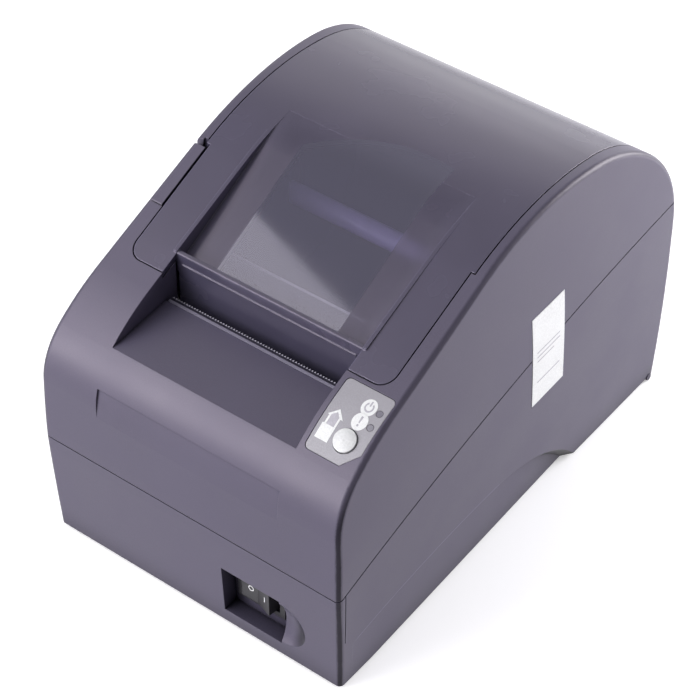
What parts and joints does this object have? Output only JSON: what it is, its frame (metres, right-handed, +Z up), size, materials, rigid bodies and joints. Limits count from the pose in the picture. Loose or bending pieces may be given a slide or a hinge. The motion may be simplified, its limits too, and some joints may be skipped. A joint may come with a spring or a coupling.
{
  "type": "receipt printer",
  "caption": "Desktop fiscal receipt printer with a curved case, a hinged smoked lid over the paper roll, a toothed tear bar, a release lever, a feed button and a power switch.",
  "frame": {"origin": "middle of the footprint, on the plane that the rubber feet stand on", "axes": "+X to the right seen from the front, +Y from the front to the rear, +Z up"},
  "size_m": [0.1441, 0.2214, 0.1515],
  "materials": {
    "casing": "fine textured",
    "lid": "fine textured with a polished window",
    "lever_plastic": "fine textured",
    "label": "printed film",
    "button_plastic": "satin",
    "clear_plastic": "clear",
    "steel_sheet": "zinc plated",
    "steel_shaft": "ground",
    "screw_steel": "zinc plated",
    "platen_rubber": "ground",
    "gear_plastic": "moulded",
    "motor_metal": "plated",
    "head_ceramic": "ceramic",
    "sink_aluminium": "extruded",
    "bucket_plastic": "moulded",
    "spindle_plastic": "moulded",
    "board": "solder mask",
    "chip": "moulded",
    "module_plastic": "moulded",
    "socket_plastic": "moulded",
    "socket_metal": "plated",
    "switch_plastic": "moulded",
    "rubber_foot": "moulded",
    "sticker": "coated paper",
    "cable": "flat cable"
  },
  "bodies": {
    "base": {"upper_casing": "casing", "lower_casing": "casing", "hinge_pins": "steel_shaft", "idler_stud": "steel_shaft", "stepper_motor": "motor_metal", "motor_screws": "screw_steel", "drive_frame": "steel_sheet", "frame_screws": "screw_steel", "thermal_head": "head_ceramic", "heat_sink": "sink_aluminium", "head_springs": "steel_shaft", "tear_bar": "steel_sheet", "paper_guide": "bucket_plastic", "lever_pin": "steel_shaft", "lever_spring": "steel_shaft", "paper_bucket": "bucket_plastic", "bucket_screws": "screw_steel", "paper_sensor": "chip", "lid_switch": "chip", "tact_switch": "chip", "control_board": "board", "light_guides": "clear_plastic", "control_label": "label", "switch_housing": "switch_plastic", "main_board": "board", "board_chips": "chip", "board_screws": "screw_steel", "fiscal_module": "module_plastic", "power_inlet": "socket_plastic", "serial_port": "socket_metal", "usb_port": "socket_plastic", "drawer_port": "socket_plastic", "head_cable": "cable", "case_screws": "screw_steel", "rubber_feet": "rubber_foot", "side_sticker": "sticker"},
    "lid": {"lid_cover": "lid", "platen_frame": "steel_sheet", "platen_frame_screws": "screw_steel", "platen_bushes": "gear_plastic"},
    "platen": {"platen_shaft": "steel_shaft", "platen_roller": "platen_rubber", "platen_gear": "gear_plastic"},
    "idler": {"idler_gear": "gear_plastic"},
    "rotor": {"motor_pinion": "gear_plastic", "motor_shaft": "steel_shaft"},
    "lever": {"release_lever": "lever_plastic"},
    "spindle": {"roll_spindle": "spindle_plastic"},
    "button": {"feed_button": "button_plastic", "switch_plunger": "switch_plastic"},
    "rocker": {"rocker": "switch_plastic"}
  },
  "joints": [
    {"name": "lid_hinge", "type": "hinge", "parent": "base", "child": "lid", "pos_m": [0, 0.08483, 0.13038], "axis": [-1, 0, 0], "range_deg": [0, 95]},
    {"name": "platen_spin", "type": "hinge", "parent": "lid", "child": "platen", "pos_m": [0, -0.04975, 0.09], "axis": [1, 0, 0], "continuous": true},
    {"name": "idler_spin", "type": "hinge", "parent": "base", "child": "idler", "pos_m": [0, -0.04326, 0.06835], "axis": [1, 0, 0], "continuous": true},
    {"name": "motor_spin", "type": "hinge", "parent": "base", "child": "rotor", "pos_m": [0, -0.05447, 0.05415], "axis": [1, 0, 0], "continuous": true},
    {"name": "lever_turn", "type": "hinge", "parent": "base", "child": "lever", "pos_m": [-0.06, -0.04192, 0.12531], "axis": [1, 0, 0], "range_deg": [0, 12], "stiffness_Nm_per_rad": 0.05, "springref_deg": -17.19},
    {"name": "spindle_spin", "type": "hinge", "parent": "base", "child": "spindle", "pos_m": [0, 0.00725, 0.11], "axis": [1, 0, 0], "continuous": true},
    {"name": "button_press", "type": "slide", "parent": "base", "child": "button", "axis": [0, 0.5462, -0.8376], "range_m": [0, 0.0006], "stiffness_N_per_m": 300, "springref_m": -0.002},
    {"name": "rocker_tilt", "type": "hinge", "parent": "base", "child": "rocker", "pos_m": [0.02875, -0.09975, 0.0228], "axis": [0, 0, 1], "range_deg": [0, 18]}
  ],
  "couplings": [
    {"joint": "idler_spin", "follows": "platen_spin", "ratio": -0.66667},
    {"joint": "motor_spin", "follows": "platen_spin", "ratio": 2}
  ]
}
